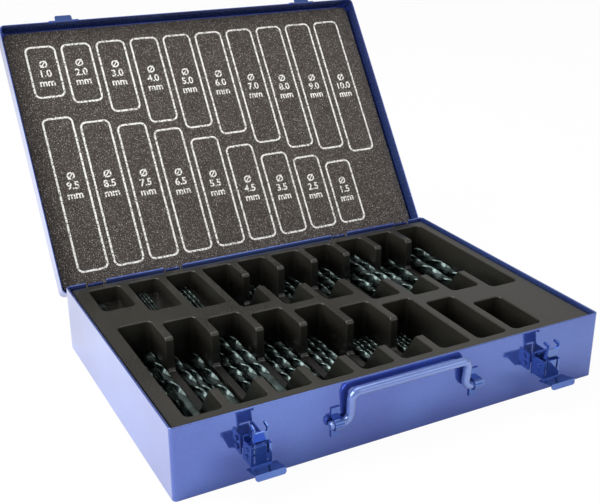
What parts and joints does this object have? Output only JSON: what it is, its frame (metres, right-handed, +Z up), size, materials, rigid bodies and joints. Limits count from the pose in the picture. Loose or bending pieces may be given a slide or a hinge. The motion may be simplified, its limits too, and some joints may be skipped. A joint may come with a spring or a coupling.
{
  "type": "drill bit case",
  "caption": "Pressed steel drill bit case with a hinged foam-lined lid, moulded insert with drill pockets, toggle latches and a swinging handle.",
  "frame": {"origin": "centre of the flat bottom face of the case", "axes": "+X to the right seen from the front, +Y to the back where the lid hangs, +Z up"},
  "size_m": [0.3382, 0.4071, 0.2372],
  "materials": {
    "enamel": "gloss blue enamel",
    "enamel_fittings": "gloss blue enamel on pressed fittings",
    "insert_plastic": "satin moulded sheet",
    "foam": "open-cell foam, printed",
    "pin_steel": "painted over pin",
    "drill_steel": "black oxide"
  },
  "bodies": {
    "case": {"case_shell": "enamel", "insert_tray": "insert_plastic", "hinge_pin_left": "pin_steel", "latch_base_left": "enamel_fittings", "base_rivets_left": "enamel_fittings", "lever_rivets_left": "enamel_fittings", "handle_strap_left": "enamel_fittings", "hinge_pin_right": "pin_steel", "latch_base_right": "enamel_fittings", "base_rivets_right": "enamel_fittings", "lever_rivets_right": "enamel_fittings", "handle_strap_right": "enamel_fittings", "drills_010": "drill_steel", "drills_020": "drill_steel", "drills_030": "drill_steel", "drills_040": "drill_steel", "drills_050": "drill_steel", "drills_060": "drill_steel", "drills_070": "drill_steel", "drills_080": "drill_steel", "drills_090": "drill_steel", "drills_100": "drill_steel", "drills_095": "drill_steel", "drills_085": "drill_steel", "drills_075": "drill_steel", "drills_065": "drill_steel", "drills_055": "drill_steel", "drills_045": "drill_steel", "drills_035": "drill_steel", "drills_025": "drill_steel", "drills_015": "drill_steel"},
    "lid": {"lid_shell": "enamel", "lid_foam": "foam", "catch_rivets": "enamel", "lid_catch_left": "enamel_fittings", "lid_catch_right": "enamel_fittings"},
    "handle": {"handle_grip": "enamel_fittings"},
    "lever_left": {"latch_lever_left": "enamel_fittings"},
    "pin_left": {"claw_pin_left": "enamel_fittings"},
    "claw_left": {"latch_claw_left": "enamel_fittings"},
    "lever_right": {"latch_lever_right": "enamel_fittings"},
    "pin_right": {"claw_pin_right": "enamel_fittings"},
    "claw_right": {"latch_claw_right": "enamel_fittings"}
  },
  "joints": [
    {"name": "lid_hinge", "type": "hinge", "parent": "case", "child": "lid", "pos_m": [0, 0.1177, 0.0425], "axis": [1, 0, 0], "range_deg": [0, 125.4]},
    {"name": "handle_swing", "type": "hinge", "parent": "case", "child": "handle", "pos_m": [0, -0.1178, 0.0248], "axis": [1, 0, 0], "range_deg": [-1.5, 174]},
    {"name": "lever_left_lift", "type": "hinge", "parent": "case", "child": "lever_left", "pos_m": [0, -0.1225, 0.0278], "axis": [-1, 0, 0], "range_deg": [0, 70]},
    {"name": "pin_left_turn", "type": "hinge", "parent": "lever_left", "child": "pin_left", "pos_m": [0, -0.1215, 0.0223], "axis": [1, 0, 0], "range_deg": [0, 70]},
    {"name": "claw_left_swing", "type": "hinge", "parent": "pin_left", "child": "claw_left", "pos_m": [0, -0.1215, 0.0223], "axis": [1, 0, 0], "range_deg": [-18, 0]},
    {"name": "lever_right_lift", "type": "hinge", "parent": "case", "child": "lever_right", "pos_m": [0, -0.1225, 0.0278], "axis": [-1, 0, 0], "range_deg": [0, 70]},
    {"name": "pin_right_turn", "type": "hinge", "parent": "lever_right", "child": "pin_right", "pos_m": [0, -0.1215, 0.0223], "axis": [1, 0, 0], "range_deg": [0, 70]},
    {"name": "claw_right_swing", "type": "hinge", "parent": "pin_right", "child": "claw_right", "pos_m": [0, -0.1215, 0.0223], "axis": [1, 0, 0], "range_deg": [-18, 0]}
  ],
  "couplings": [
    {"joint": "pin_left_turn", "follows": "lever_left_lift", "ratio": 1},
    {"joint": "pin_right_turn", "follows": "lever_right_lift", "ratio": 1}
  ]
}
